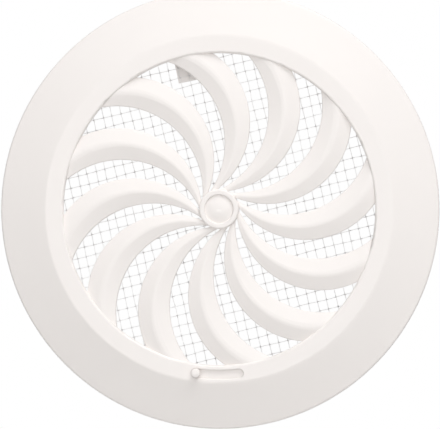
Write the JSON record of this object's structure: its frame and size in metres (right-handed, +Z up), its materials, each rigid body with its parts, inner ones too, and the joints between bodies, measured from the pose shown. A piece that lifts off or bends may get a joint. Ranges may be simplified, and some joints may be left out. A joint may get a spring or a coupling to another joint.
{
  "type": "round vent cover",
  "caption": "Round duct vent cover: conical flange, swirl blades around a dished hub, a turning shutter worked by a small knob in an arc slot, and an insect net held in the rear collar.",
  "frame": {"origin": "on the vent's axis, in the wall plane that the flange's lip rests on", "axes": "+Z up on the wall, +Y along the axis into the duct, so the front faces -Y; +X to the right seen from the front"},
  "size_m": [0.15, 0.0316, 0.15],
  "materials": {
    "cover_plastic": "warm white moulded plastic, satin",
    "shutter_plastic": "warm white moulded plastic, satin",
    "ring_plastic": "white moulded plastic, matt",
    "net_fibre": "pale grey plastic net",
    "zinc_steel": "zinc-plated steel"
  },
  "bodies": {
    "cover": {"cover": "cover_plastic", "collar": "cover_plastic", "pivot_washer": "zinc_steel", "pivot_screw": "zinc_steel", "insect_net": "net_fibre", "net_ring": "ring_plastic"},
    "shutter": {"shutter": "shutter_plastic"}
  },
  "joints": [
    {"name": "shutter_turn", "type": "hinge", "parent": "cover", "child": "shutter", "pos_m": [0, 0, 0], "axis": [0, -1, 0], "range_deg": [0, 15]}
  ]
}
